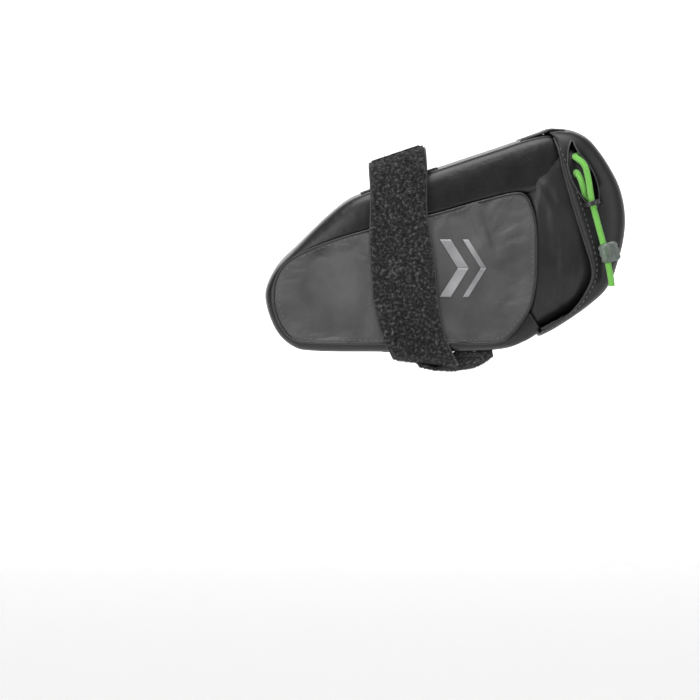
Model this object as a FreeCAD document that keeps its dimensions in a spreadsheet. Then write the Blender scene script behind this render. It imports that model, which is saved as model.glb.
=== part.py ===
import FreeCAD, Part

# Saddle bag hung under a bicycle saddle by one hook-and-loop strap. Millimetres, +Z up,
# +X to the rear, the bag's left side at -Y. The origin lies midway between the saddle's
# rails where the strap passes over them.

import math
import os

from FreeCAD import Placement, Rotation, Vector

doc = FreeCAD.newDocument("SaddleBag")
sheet = doc.addObject("Spreadsheet::Sheet", "Sizes")

SIZES = (
    # the bag as seen from its side
    ("nose_reach", 56.3),
    ("panel_reach", 56.3),
    ("bag_reach", 94.5),
    ("belly_drop", 75.0),
    ("top_angle", 18.4),
    ("bevel_angle", 44.0),
    ("nose_height", 31.0),
    ("belly_lift_angle", 34.6),
    ("belly_lift_start", 47.0),
    # its cross-section
    ("body_width", 60.0),
    ("top_width", 48.0),
    ("shoulder_depth", 17.5),
    ("fabric", 1.2),
    ("clearance", 0.3),
    ("seam_border", 4.0),
    ("weld_width", 2.4),
    ("weld_height", 0.5),
    # the rear
    ("throat_recess", 4.8),
    ("throat_overlap", 9.0),
    ("mouth_reach", 84.0),
    ("hoop_depth", 4.0),
    ("hoop_thickness", 1.5),
    ("board_thickness", 1.0),
    ("flap_proud", 0.5),
    ("fold_length", 9.0),
    ("fold_thickness", 1.0),
    ("binding_width", 1.8),
    ("binding_height", 0.6),
    ("rim_width", 1.1),
    ("rim_height", 0.7),
    ("print_thickness", 0.2),
    # the rails and the strap
    ("rail_radius", 3.5),
    ("rail_spacing", 44.0),
    ("pad_thickness", 0.8),
    ("strap_width", 25.0),
    ("strap_thickness", 2.2),
    ("strap_side_room", 1.1),
    ("strap_lean", 7.5),
    ("patch_thickness", 0.9),
    ("tail_length", 38.0),
    ("tail_offset", 12.0),
    ("hook_thickness", 1.0),
    # the closure cord
    ("cord_radius", 1.3),
    ("sleeve_play", 0.06),
    ("sleeve_radius", 2.6),
    ("sleeve_lobe_radius", 1.9),
    ("sleeve_lobe_offset", 3.6),
    ("sleeve_length", 8.0),
    ("sleeve_travel", 11.0),
)
for row, (alias, value) in enumerate(SIZES, 1):
    sheet.set(f"A{row}", alias)
    sheet.set(f"B{row}", str(value))
    sheet.setAlias(f"B{row}", alias)
doc.recompute()


def size(alias):
    return float(sheet.get(alias))


def slope(angle):
    return math.tan(math.radians(angle))


FABRIC = size("fabric")
CLEARANCE = size("clearance")
HALF_WIDTH = size("body_width") / 2
TOP_DROP = size("rail_radius") + size("pad_thickness")
TOP_TILT = math.radians(size("top_angle"))
FAR = 400.0


# ---------------------------------------------------------------- outlines and blocks


def inset(corners, amount):
    """Corner points (u, v, radius) of a convex outline, moved inwards by an amount."""
    area = sum(a[0] * b[1] - b[0] * a[1] for a, b in zip(corners, corners[1:] + corners[:1]))
    side = 1 if area > 0 else -1
    moved = []
    for before, here, after in zip(corners[-1:] + corners[:-1], corners, corners[1:] + corners[:1]):
        first = Vector(here[0] - before[0], here[1] - before[1], 0).normalize()
        second = Vector(after[0] - here[0], after[1] - here[1], 0).normalize()
        normal_a = Vector(-first.y, first.x, 0) * side
        normal_b = Vector(-second.y, second.x, 0) * side
        step = (normal_a + normal_b) * (amount / (1 + normal_a.dot(normal_b)))
        radius = max(here[2] - amount, 0.0) if here[2] else 0.0
        moved.append((here[0] + step.x, here[1] + step.y, radius))
    return moved


def rounded(corners):
    """Straight edges and tangent arcs of a closed outline of corner points."""
    trimmed = []
    for before, here, after in zip(corners[-1:] + corners[:-1], corners, corners[1:] + corners[:1]):
        corner = Vector(here[0], here[1], 0)
        back = (Vector(before[0], before[1], 0) - corner).normalize()
        ahead = (Vector(after[0], after[1], 0) - corner).normalize()
        half = back.getAngle(ahead) / 2
        if here[2] < 0.01:
            trimmed.append((corner, None, corner))
            continue
        cut = here[2] / math.tan(half)
        middle = (back + ahead).normalize() * (here[2] / math.sin(half) - here[2])
        trimmed.append((corner + back * cut, corner + middle, corner + ahead * cut))
    edges = []
    for (start, middle, end), following in zip(trimmed, trimmed[1:] + trimmed[:1]):
        if middle is not None:
            edges.append(Part.Arc(start, middle, end))
        if (following[0] - end).Length > 1e-6:
            edges.append(Part.LineSegment(end, following[0]))
    return edges


def sketch(label, corners, placement):
    """A closed outline as a sketch whose edges are joined end to end."""
    drawn = doc.addObject("Sketcher::SketchObject", label + "_outline")
    drawn.Placement = placement
    drawn.addGeometry(rounded(corners), False)
    return drawn


SIDE_VIEW = Placement(Vector(0, 0, 0), Rotation(Vector(1, 0, 0), 90))
CROSSWISE = Rotation(Vector(0, 1, 0), Vector(0, 0, 1), Vector(1, 0, 0), "ZXY")
DOWN_THE_TOP = Placement(
    Vector(0, 0, -TOP_DROP), Rotation(Vector(0, 1, 0), -size("top_angle")).multiply(CROSSWISE)
)
ALONG_TOP = Vector(math.cos(TOP_TILT), 0, math.sin(TOP_TILT))


def extrude(label, drawn, direction, length):
    """An outline extruded both ways; length is a number or a formula on the sheet."""
    block = doc.addObject("Part::Extrusion", label)
    block.Base = drawn
    block.DirMode = "Custom"
    block.Dir = direction
    block.Solid = True
    block.Symmetric = True
    if isinstance(length, str):
        block.setExpression("LengthFwd", length)
    else:
        block.LengthFwd = length
    return block


def slab(label, corners, middle, thickness):
    """A side-view outline made into a plate, centred on the plane y = middle."""
    plate = extrude(
        label,
        sketch(label, corners, Placement(Vector(0, middle, 0), SIDE_VIEW.Rotation)),
        Vector(0, 1, 0),
        thickness,
    )
    return plate


def box(label, low, high):
    """An upright box between two corners."""
    block = doc.addObject("Part::Box", label)
    block.Length, block.Width, block.Height = (b - a for a, b in zip(low, high))
    block.Placement = Placement(Vector(*low), Rotation())
    return block


def common(label, *shapes):
    both = doc.addObject("Part::MultiCommon", label)
    both.Shapes = list(shapes)
    return both


def cut(label, base, *tools):
    """A base with every tool taken out of it."""
    for number, tool in enumerate(tools, 1):
        step = doc.addObject("Part::Cut", label if number == len(tools) else f"{label}_cut{number}")
        step.Base, step.Tool = base, tool
        base = step
    return base


def fuse(label, *shapes):
    joined = doc.addObject("Part::MultiFuse", label)
    joined.Shapes = list(shapes)
    joined.Refine = True
    return joined


NODES = []


def node(made, name):
    """Marks an object as a sub-part; the name is its label and its file."""
    made.Label = name
    NODES.append(made)
    return made


# ---------------------------------------------------------------- the bag's own outline

TOP_LINE = slope(size("top_angle"))
BELLY = -size("belly_drop")
NOSE = -size("nose_reach")
NOSE_TOP = BELLY + size("nose_height")
BEVEL_LINE = slope(size("bevel_angle"))


def top_height(reach):
    return -TOP_DROP + reach * TOP_LINE


def bevel_height(reach):
    return NOSE_TOP + (reach - NOSE) * BEVEL_LINE


BROW = (-TOP_DROP - bevel_height(0)) / (BEVEL_LINE - TOP_LINE)
FLAP_FRONT = size("bag_reach") - 32.5
CROWN = top_height(FLAP_FRONT)
REAR_LOW = size("bag_reach") - 5.5
LIFT_LINE = slope(size("belly_lift_angle"))
REAR_LOW_HEIGHT = BELLY + (REAR_LOW - size("belly_lift_start")) * LIFT_LINE
SHOULDER_OF_FLAP = -12.0

SILHOUETTE = [
    (NOSE, BELLY, 24.0),
    (size("belly_lift_start"), BELLY, 14.0),
    (REAR_LOW, REAR_LOW_HEIGHT, 9.0),
    (size("bag_reach"), SHOULDER_OF_FLAP, 18.0),
    (size("bag_reach") - 18.5, CROWN, 8.0),
    (FLAP_FRONT, CROWN, 8.0),
    (BROW, top_height(BROW), 12.0),
    (NOSE, NOSE_TOP, 14.0),
]


def cross_section(amount, recess=0.0):
    """The bag's section square to its top: upright sides, leaning shoulders, a flat top."""
    wide = HALF_WIDTH - recess
    narrow = size("top_width") / 2 - recess / 2
    corners = [
        (-wide, -FAR / 2, 0.0),
        (wide, -FAR / 2, 0.0),
        (wide, -size("shoulder_depth"), 6.0),
        (narrow, 0.0, 4.0),
        (-narrow, 0.0, 4.0),
        (-wide, -size("shoulder_depth"), 6.0),
    ]
    return inset(corners, amount)


def body_block(label, amount, recess=0.0):
    """The solid inside the bag's outer skin, a given amount in from it."""
    outline = extrude(
        label + "_side",
        sketch(label + "_side", inset(SILHOUETTE, amount), SIDE_VIEW),
        Vector(0, 1, 0),
        FAR,
    )
    section = extrude(
        label + "_section",
        sketch(label + "_section", cross_section(amount, recess), DOWN_THE_TOP),
        ALONG_TOP,
        FAR,
    )
    return common(label, outline, section)


outer_block = body_block("outer_block", 0.0)
inner_block = body_block("inner_block", FABRIC)

# The gusset and the side panels end at a line that leans like the flap's front edge.
BODY_END_TOP = FLAP_FRONT - 0.5
BODY_END_LOW = size("panel_reach") + 1.2


def ahead_of(label, shift):
    """Everything ahead of the body's rear edge, moved back by a shift."""
    corners = [
        (-FAR / 2, -FAR / 2, 0.0),
        (BODY_END_LOW + shift, -FAR / 2, 0.0),
        (BODY_END_LOW + shift, BELLY, 0.0),
        (BODY_END_TOP + shift, CROWN, 0.0),
        (BODY_END_TOP + shift, FAR / 2, 0.0),
        (-FAR / 2, FAR / 2, 0.0),
    ]
    return slab(label, corners, 0.0, FAR)


body_zone = ahead_of("body_zone", 0.0)

# ---------------------------------------------------------------- side panels and gusset

BORDER = size("seam_border")
SEAM_DROP = size("shoulder_depth") / math.cos(TOP_TILT) + 1.0


def seam_height(reach):
    return top_height(reach) - SEAM_DROP


SEAM_BREAK = BROW - 7.0
PANEL = [
    (NOSE + BORDER, BELLY + BORDER, 20.0),
    (size("panel_reach") - 8.0, BELLY + BORDER, 9.0),
    (size("panel_reach"), BELLY + 24.0, 10.0),
    (size("panel_reach"), seam_height(size("panel_reach")) + 3.0, 11.0),
    (SEAM_BREAK, seam_height(SEAM_BREAK) + 4.5, 30.0),
    (NOSE + BORDER + 3.0, NOSE_TOP + 3.0, 6.0),
    (NOSE + BORDER, NOSE_TOP - 4.0, 10.0),
]

for side, name in ((-1, "left"), (1, "right")):
    node(
        slab(f"side_panel_{name}", PANEL, side * (HALF_WIDTH - FABRIC / 2), "Sizes.fabric"),
        f"side_panel_{name}",
    )

gusset_skin = common("gusset_skin", cut("body_skin", outer_block, inner_block), body_zone)
panel_gap = slab("panel_gap", PANEL, 0.0, FAR)
node(cut("gusset_band", gusset_skin, panel_gap), "gusset_band")

# A raised weld runs round each side panel, just inside its edge.
for side, name in ((-1, "left"), (1, "right")):
    middle = side * (HALF_WIDTH + size("weld_height") / 2)
    outside = slab(f"weld_out_{name}", inset(PANEL, 0.4), middle, "Sizes.weld_height")
    inside = slab(f"weld_in_{name}", inset(PANEL, 0.4 + size("weld_width")), middle, FAR / 8)
    node(cut(f"seam_weld_{name}", outside, inside), f"seam_weld_{name}")

# A generic reflective chevron is printed on each side panel behind the strap.
CHEVRON_REACH = 27.0
CHEVRON_HEIGHT = -41.0
CHEVRON = [
    (CHEVRON_REACH - 11.0, CHEVRON_HEIGHT - 12.0, 0.0),
    (CHEVRON_REACH - 4.0, CHEVRON_HEIGHT - 12.0, 0.0),
    (CHEVRON_REACH + 11.0, CHEVRON_HEIGHT + 1.0, 0.0),
    (CHEVRON_REACH + 4.0, CHEVRON_HEIGHT + 14.0, 0.0),
    (CHEVRON_REACH - 3.0, CHEVRON_HEIGHT + 14.0, 0.0),
    (CHEVRON_REACH + 4.0, CHEVRON_HEIGHT + 1.0, 0.0),
]
for side, name in ((-1, "left"), (1, "right")):
    middle = side * (HALF_WIDTH + size("print_thickness") / 2)
    printed = slab(f"reflective_print_{name}", CHEVRON, middle, "Sizes.print_thickness")
    node(printed, f"reflective_print_{name}")

# ---------------------------------------------------------------- rear throat and hoop

throat_outer = body_block("throat_outer", FABRIC, size("throat_recess"))
throat_inner = body_block("throat_inner", 2 * FABRIC, size("throat_recess"))
THROAT_START = size("panel_reach") - size("throat_overlap")
throat_zone = box(
    "throat_zone", (THROAT_START, -FAR / 2, -FAR / 2), (size("mouth_reach"), FAR / 2, FAR / 2)
)
collar_zone = box(
    "collar_zone", (THROAT_START, -FAR / 2, -FAR / 2), (THROAT_START + FABRIC, FAR / 2, FAR / 2)
)
throat_tube = common("throat_tube", cut("throat_skin", throat_outer, throat_inner), throat_zone)
collar = common("collar", cut("collar_skin", inner_block, throat_inner), collar_zone)
node(fuse("rear_throat", throat_tube, collar), "rear_throat")

hoop_outer = throat_inner
hoop_inner = body_block("hoop_inner", 2 * FABRIC + size("hoop_thickness"), size("throat_recess"))
HOOP_START = size("mouth_reach") - size("hoop_depth")
hoop_zone = box(
    "hoop_zone", (HOOP_START, -FAR / 2, -FAR / 2), (size("mouth_reach"), FAR / 2, FAR / 2)
)
node(
    common("mouth_hoop", cut("hoop_ring", hoop_outer, hoop_inner), hoop_zone), "mouth_hoop"
)

# ---------------------------------------------------------------- stiffener boards

BOARD_SIDE_ROOM = 3.0
board_half = HALF_WIDTH - FABRIC - BOARD_SIDE_ROOM
base_board = box(
    "base_stiffener",
    (NOSE + 28.0, -board_half, BELLY + FABRIC),
    (THROAT_START - 8.0, board_half, BELLY + FABRIC + size("board_thickness")),
)
node(base_board, "base_stiffener")

top_board_half = size("top_width") / 2 - 5.0
TOP_BOARD = [
    (-top_board_half, -FABRIC - size("board_thickness"), 0.0),
    (top_board_half, -FABRIC - size("board_thickness"), 0.0),
    (top_board_half, -FABRIC, 0.0),
    (-top_board_half, -FABRIC, 0.0),
]
TOP_BOARD_LENGTH = 50.0
TOP_BOARD_MIDDLE = 12.0
top_place = Placement(DOWN_THE_TOP.Base + ALONG_TOP * TOP_BOARD_MIDDLE, DOWN_THE_TOP.Rotation)
node(
    extrude(
        "top_stiffener", sketch("top_stiffener", TOP_BOARD, top_place), ALONG_TOP, TOP_BOARD_LENGTH
    ),
    "top_stiffener",
)

# ---------------------------------------------------------------- rail pad and strap

PAD_HALF = size("top_width") / 2 - 3.0
RAIL_PAD = [
    (-PAD_HALF, 0.0, 0.0),
    (PAD_HALF, 0.0, 0.0),
    (PAD_HALF, size("pad_thickness"), 0.3),
    (-PAD_HALF, size("pad_thickness"), 0.3),
]
PAD_LENGTH = 34.0
node(
    extrude("rail_pad", sketch("rail_pad", RAIL_PAD, DOWN_THE_TOP), ALONG_TOP, PAD_LENGTH),
    "rail_pad",
)

STRAP_HALF = size("strap_width") / 2
STRAP_IN = HALF_WIDTH + size("strap_side_room")
STRAP_OUT = STRAP_IN + size("strap_thickness")
STRAP_LOW = BELLY - size("patch_thickness")
RAIL_TOP = size("rail_radius") / math.cos(TOP_TILT) + CLEARANCE
RAIL_OUT = size("rail_spacing") / 2 + size("rail_radius") + CLEARANCE
STRAP_FOOT = -26.0

# Over the rails the strap is a low arch that lies square to the bag's top.
ARCH_INSIDE = [
    (-STRAP_IN, STRAP_FOOT, 0.0),
    (STRAP_IN, STRAP_FOOT, 0.0),
    (STRAP_IN, -8.0, 6.0),
    (RAIL_OUT, RAIL_TOP, 3.5),
    (-RAIL_OUT, RAIL_TOP, 3.5),
    (-STRAP_IN, -8.0, 6.0),
]
arch_outside = [
    (u, v - (0.0 if v > STRAP_FOOT else -size("strap_thickness")), radius)
    for u, v, radius in inset(ARCH_INSIDE, -size("strap_thickness"))
]
arch_place = Placement(Vector(0, 0, 0), CROSSWISE)
ARCH_LENGTH = "Sizes.strap_width / cos(Sizes.top_angle * 1 deg)"
strap_arch = cut(
    "strap_arch",
    extrude("arch_outer", sketch("arch_outer", arch_outside, arch_place), ALONG_TOP, ARCH_LENGTH),
    extrude("arch_inner", sketch("arch_inner", ARCH_INSIDE, arch_place), ALONG_TOP, FAR),
)

# Down the sides it leans to the rear and turns level under the belly.
LEAN = size("strap_lean")
foot_rise = STRAP_HALF * TOP_LINE
STRAP_SIDE = [
    (-STRAP_HALF, STRAP_FOOT - foot_rise, 0.0),
    (-STRAP_HALF + LEAN, STRAP_LOW - size("strap_thickness"), 0.0),
    (STRAP_HALF + LEAN, STRAP_LOW - size("strap_thickness"), 0.0),
    (STRAP_HALF, STRAP_FOOT + foot_rise, 0.0),
]
strap_sides = [
    slab(f"strap_side_{name}", STRAP_SIDE, side * (STRAP_IN + STRAP_OUT) / 2, "Sizes.strap_thickness")
    for side, name in ((-1, "left"), (1, "right"))
]
strap_belly = box(
    "strap_belly",
    (-STRAP_HALF + LEAN, -STRAP_OUT, STRAP_LOW - size("strap_thickness")),
    (STRAP_HALF + LEAN, STRAP_OUT, STRAP_LOW),
)
node(fuse("strap", strap_arch, strap_belly, *strap_sides), "strap")

PATCH_HALF = 16.0
patch = box(
    "strap_anchor_patch",
    (-STRAP_HALF + LEAN - 2.0, -PATCH_HALF, STRAP_LOW),
    (STRAP_HALF + LEAN + 2.0, PATCH_HALF, BELLY),
)
node(patch, "strap_anchor_patch")

# The strap's free end lies under the belly and peels down about its root at the right.
TAIL_ROOT = 17.0
TAIL_X = LEAN + size("tail_offset")
HOOK_TOP = STRAP_LOW - size("strap_thickness") - CLEARANCE
TAIL_TOP = HOOK_TOP - size("hook_thickness")
tail = box(
    "strap_tail",
    (TAIL_X - STRAP_HALF, TAIL_ROOT - size("tail_length"), TAIL_TOP - size("strap_thickness")),
    (TAIL_X + STRAP_HALF, TAIL_ROOT, TAIL_TOP),
)
node(tail, "strap_tail")
HOOK_EDGE = 2.0
hooks = box(
    "strap_hook_patch",
    (TAIL_X - STRAP_HALF + HOOK_EDGE, TAIL_ROOT - size("tail_length") + HOOK_EDGE, TAIL_TOP),
    (TAIL_X + STRAP_HALF - HOOK_EDGE, TAIL_ROOT - 10.0, HOOK_TOP),
)
node(hooks, "strap_hook_patch")

# ---------------------------------------------------------------- the rear flap

flap_outer = body_block("flap_outer", -size("flap_proud"))
flap_inner = body_block("flap_inner", FABRIC - CLEARANCE)
EDGE_TOP = FLAP_FRONT + CLEARANCE
EDGE_LOW = BODY_END_LOW + 0.8
EDGE_WAIST = 80.5
FLAP_EDGE = [
    (EDGE_TOP, FAR / 2, 0.0),
    (EDGE_TOP, CROWN - 6.0, 6.0),
    (71.0, -18.0, 30.0),
    (EDGE_WAIST, -41.0, 7.0),
    (76.5, -53.0, 7.0),
    (EDGE_LOW, BELLY + 7.0, 0.0),
    (EDGE_LOW, -FAR / 2, 0.0),
]
behind_edge = slab(
    "behind_edge", FLAP_EDGE + [(FAR / 2, -FAR / 2, 0.0), (FAR / 2, FAR / 2, 0.0)], 0.0, FAR
)
flap_blank = common("flap_blank", cut("flap_skin", flap_outer, flap_inner), behind_edge)

# A leaf-shaped slot in its left side lets the cord out.
SLOT_TIP = (71.5, 13.0)
SLOT_FOOT = (81.6, -15.6)
SLOT_FRONT = (70.0, -4.6)
SLOT_BACK = (83.2, 0.6)


def leaf(amount):
    """The slot's outline, grown by an amount; two arcs and a short flat foot."""
    (tip_x, tip_z), (foot_x, foot_z) = SLOT_TIP, SLOT_FOOT
    return [
        (tip_x, tip_z + amount, 1.2),
        (SLOT_FRONT[0] - amount, 3.0, 5.0),
        (SLOT_FRONT[0] + 2.4 - amount, SLOT_FRONT[1] - 1.0, 8.0),
        (foot_x - 4.2 - amount, foot_z - amount / 2, 1.0),
        (foot_x + amount, foot_z - amount, 1.5),
        (SLOT_BACK[0] - 0.4 + amount, SLOT_BACK[1] - 5.0, 6.0),
        (SLOT_BACK[0] - 3.4 + amount, SLOT_BACK[1] + 4.0, 8.0),
    ]


def left_side(label, corners, depth=14.0):
    """A side-view outline that reaches into the left side only."""
    return slab(label, corners, -HALF_WIDTH, depth)


slot_hole = left_side("slot_hole", leaf(0.0))
node(cut("flap_shell", flap_blank, slot_hole), "flap_shell")

rim_outer = body_block("rim_outer", -size("flap_proud") - size("rim_height"))
rim_skin = cut("rim_skin", rim_outer, flap_outer)
rim_ring = cut(
    "rim_ring", left_side("rim_wide", leaf(size("rim_width"))), left_side("rim_hole", leaf(0.05))
)
node(common("slot_rim", rim_skin, rim_ring), "slot_rim")

# A narrow binding finishes the flap's free edges on both sides.
BINDING_START = CROWN - 22.0
BOUND = size("binding_width")
BINDING = [
    (69.2, BINDING_START, 0.0),
    (71.2, -18.0, 30.0),
    (EDGE_WAIST + 0.2, -41.0, 7.0),
    (76.7, -53.0, 7.0),
    (64.5, -62.0, 0.0),
    (64.5 + 0.8 * BOUND, -62.0 - 0.6 * BOUND, 0.0),
    (76.7 + BOUND, -54.0, 7.0 + BOUND),
    (EDGE_WAIST + 0.2 + BOUND, -41.0, 7.0 + BOUND),
    (71.2 + BOUND, -18.0, 30.0 - BOUND),
    (69.2 + BOUND, BINDING_START, 0.0),
]
bindings = [
    slab(
        f"binding_{name}",
        BINDING,
        side * (HALF_WIDTH + size("flap_proud") + size("binding_height") / 2),
        "Sizes.binding_height",
    )
    for side, name in ((-1, "left"), (1, "right"))
]
node(fuse("flap_binding", *bindings), "flap_binding")

board_outer = flap_inner
board_inner = body_block("board_inner", FABRIC - CLEARANCE + size("board_thickness"))
board_zone = box(
    "board_zone",
    (size("mouth_reach") + 2.0, -HALF_WIDTH + 6.0, -42.0),
    (FAR / 2, HALF_WIDTH - 6.0, -2.0),
)
node(common("flap_board", cut("board_skin", board_outer, board_inner), board_zone), "flap_board")

# The fold is a strip that lies on the bag's top and ends at the flap's hinge line.
fold_half = size("top_width") / 2 - 4.0
FOLD = [
    (-fold_half, 0.0, 0.0),
    (fold_half, 0.0, 0.0),
    (fold_half, size("fold_thickness"), 0.3),
    (-fold_half, size("fold_thickness"), 0.3),
]
fold_middle = (BODY_END_TOP - 1.6) / math.cos(TOP_TILT) - size("fold_length") / 2
fold_place = Placement(DOWN_THE_TOP.Base + ALONG_TOP * fold_middle, DOWN_THE_TOP.Rotation)
node(
    extrude("flap_fold", sketch("flap_fold", FOLD, fold_place), ALONG_TOP, "Sizes.fold_length"),
    "flap_fold",
)

# ---------------------------------------------------------------- the closure cord

CORD = size("cord_radius")
LINE = HALF_WIDTH + size("flap_proud") + CLEARANCE + size("sleeve_radius")
RUN_START = Vector(79.4, -LINE, -12.0)
RUN_END = Vector(87.3, -LINE, -40.0)
RUN = (RUN_END - RUN_START).normalize()

CORD_ROUTE = [
    Vector(78.6, -25.7, 8.4),
    Vector(73.0, -25.8, 6.4),
    Vector(72.6, -31.9, 6.2),
    Vector(76.6, -34.0, 3.4),
    Vector(78.4, -33.6, -4.0),
    RUN_START,
    RUN_END,
    Vector(88.0, -LINE, -47.4),
]
RETURN_ROUTE = [
    Vector(75.5, -26.6, -6.5),
    Vector(73.2, -26.7, -0.8),
    Vector(73.4, -31.4, 0.2),
    Vector(75.2, -32.9, -3.4),
    Vector(76.8, -31.2, -8.6),
    Vector(78.2, -26.8, -11.6),
    Vector(80.8, -26.4, -15.5),
]


def tube(name, route, radius):
    """A round cord along a route: straight runs joined by tangent arcs."""
    edges = []
    start = route[0]
    for before, corner, after in zip(route, route[1:], route[2:]):
        back = (before - corner).normalize()
        ahead = (after - corner).normalize()
        shorter = min((before - corner).Length, (after - corner).Length)
        half = back.getAngle(ahead) / 2
        turn = math.pi - 2 * half
        bend = 0.45 * shorter / math.tan(turn / 2)
        reach = 0.45 * shorter
        middle = (back + ahead).normalize() * (bend / math.sin(half) - bend)
        edges.append(Part.LineSegment(start, corner + back * reach).toShape())
        arc = Part.Arc(corner + back * reach, corner + middle, corner + ahead * reach)
        edges.append(arc.toShape())
        start = corner + ahead * reach
        print(f"{name}: turn {math.degrees(turn):.0f} deg, radius {bend:.1f} mm")
    edges.append(Part.LineSegment(start, route[-1]).toShape())
    path = Part.Wire(edges)
    profile = Part.Wire(Part.makeCircle(radius, route[0], (route[1] - route[0]).normalize()))
    solid = path.makePipeShell([profile], True, False)
    expected = math.pi * radius**2 * path.Length
    print(f"{name}: length {path.Length:.1f} mm, volume {solid.Volume:.1f} of {expected:.1f}")
    made = doc.addObject("Part::Feature", name)
    made.Shape = solid
    made.Placement = Placement()
    return made


node(tube("closure_cord", CORD_ROUTE, CORD), "closure_cord")
node(tube("closure_cord_return", RETURN_ROUTE, CORD), "closure_cord_return")

# The sleeve: two joined barrels, one of them on the cord's straight run.
ACROSS = Vector(-RUN.z, 0, RUN.x)
SLEEVE_FRAME = Rotation(ACROSS, Vector(0, -1, 0), RUN, "ZXY")
SLEEVE_END = RUN_START + RUN * ((RUN_END - RUN_START).Length * 0.93)


def barrel(label, radius, offset, length, end=0.0):
    """A cylinder along the cord's run, ending at the sleeve's lower end plus an amount."""
    made = doc.addObject("Part::Cylinder", label)
    made.Radius = radius
    made.Height = length
    foot = SLEEVE_END + RUN * (end - length) + ACROSS * offset
    made.Placement = Placement(foot, SLEEVE_FRAME)
    return made


sleeve_length = size("sleeve_length")
sleeve_body = fuse(
    "sleeve_body",
    barrel("sleeve_main", size("sleeve_radius"), 0.0, sleeve_length),
    barrel("sleeve_lobe", size("sleeve_lobe_radius"), size("sleeve_lobe_offset"), sleeve_length),
)
sleeve_bore = barrel(
    "sleeve_bore", CORD + size("sleeve_play"), 0.0, 2 * sleeve_length, sleeve_length / 2
)
node(cut("cord_sleeve", sleeve_body, sleeve_bore), "cord_sleeve")

# A small bridge holds the cord down at the slot's lower end.
BRIDGE_LENGTH = 3.0
BRIDGE_HALF = 3.6
BRIDGE_WALL = 1.0
BRIDGE_FOOT = HALF_WIDTH + size("flap_proud")
BRIDGE_TOP = LINE + CORD + CLEARANCE
BRIDGE = [
    (-BRIDGE_HALF, BRIDGE_FOOT, 0.0),
    (-BRIDGE_HALF, BRIDGE_TOP + BRIDGE_WALL, 1.6),
    (BRIDGE_HALF, BRIDGE_TOP + BRIDGE_WALL, 1.6),
    (BRIDGE_HALF, BRIDGE_FOOT, 0.0),
    (BRIDGE_HALF - BRIDGE_WALL, BRIDGE_FOOT, 0.0),
    (BRIDGE_HALF - BRIDGE_WALL, BRIDGE_TOP, 0.8),
    (-BRIDGE_HALF + BRIDGE_WALL, BRIDGE_TOP, 0.8),
    (-BRIDGE_HALF + BRIDGE_WALL, BRIDGE_FOOT, 0.0),
]
# It stands just above the highest place that the sleeve slides to.
bridge_at = SLEEVE_END - RUN * (
    size("sleeve_length") + size("sleeve_travel") + CLEARANCE + BRIDGE_LENGTH / 2
)
bridge_place = Placement(Vector(bridge_at.x, 0, bridge_at.z), SLEEVE_FRAME)
node(
    extrude("slot_bridge", sketch("slot_bridge", BRIDGE, bridge_place), RUN, BRIDGE_LENGTH),
    "slot_bridge",
)

# ---------------------------------------------------------------- checks and files

doc.recompute()
for made in doc.Objects:
    if "Invalid" in made.State or "Error" in made.State:
        raise RuntimeError(f"{made.Label} did not build: {made.State}")
for made in NODES:
    if made.Shape.isNull() or not made.Shape.isValid() or not made.Shape.Solids:
        raise RuntimeError(f"{made.Label} has no valid solid")

os.makedirs("parts", exist_ok=True)
for made in NODES:
    made.Shape.exportStep(f"parts/{made.Label}.step")
    bounds = made.Shape.BoundBox
    print(
        f"{made.Label}: {len(made.Shape.Solids)} solid, {made.Shape.Volume:.0f} mm3, "
        f"x {bounds.XMin:.1f}..{bounds.XMax:.1f}, y {bounds.YMin:.1f}..{bounds.YMax:.1f}, "
        f"z {bounds.ZMin:.1f}..{bounds.ZMax:.1f}"
    )
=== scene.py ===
import math
import random

import bpy
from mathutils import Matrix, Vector, noise
from mathutils.bvhtree import BVHTree


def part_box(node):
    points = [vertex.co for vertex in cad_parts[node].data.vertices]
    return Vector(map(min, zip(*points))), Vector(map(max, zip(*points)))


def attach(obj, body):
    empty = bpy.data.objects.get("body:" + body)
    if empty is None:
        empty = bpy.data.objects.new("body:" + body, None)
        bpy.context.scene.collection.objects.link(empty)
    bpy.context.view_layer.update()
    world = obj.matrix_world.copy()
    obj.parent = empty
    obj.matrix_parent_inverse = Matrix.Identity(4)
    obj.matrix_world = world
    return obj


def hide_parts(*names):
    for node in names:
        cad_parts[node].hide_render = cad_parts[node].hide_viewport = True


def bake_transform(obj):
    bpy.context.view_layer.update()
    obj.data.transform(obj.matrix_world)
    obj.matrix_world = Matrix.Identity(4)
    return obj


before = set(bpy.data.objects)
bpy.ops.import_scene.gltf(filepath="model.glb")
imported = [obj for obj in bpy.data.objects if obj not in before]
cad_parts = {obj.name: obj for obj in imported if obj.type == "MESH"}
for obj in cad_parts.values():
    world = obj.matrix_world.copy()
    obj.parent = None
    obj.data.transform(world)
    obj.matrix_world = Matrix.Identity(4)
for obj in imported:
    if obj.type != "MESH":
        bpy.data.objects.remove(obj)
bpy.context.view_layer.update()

# The room: a pale floor well below the hanging bag, a pale wall far behind it, four soft
# lamps, and a long lens that looks at the bag's left side from just above level.
MM = 0.001
EYE_DISTANCE = 1.5
EYE_LIFT = math.radians(3.0)
aim = Vector((-20.8, -30.0, -74.2)) * MM
eye_data = bpy.data.cameras.new("eye")
eye_data.sensor_width = 36.0
eye_data.lens = 185.0
eye_data.clip_end = 50.0
eye = bpy.data.objects.new("eye", eye_data)
eye.location = aim + Vector((0, -math.cos(EYE_LIFT), math.sin(EYE_LIFT))) * EYE_DISTANCE
eye.rotation_euler = (math.pi / 2 - EYE_LIFT, 0, 0)
bpy.context.scene.collection.objects.link(eye)
bpy.context.scene.camera = eye


BAG_MIDDLE = Vector((0.015, 0.0, -0.035))


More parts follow.
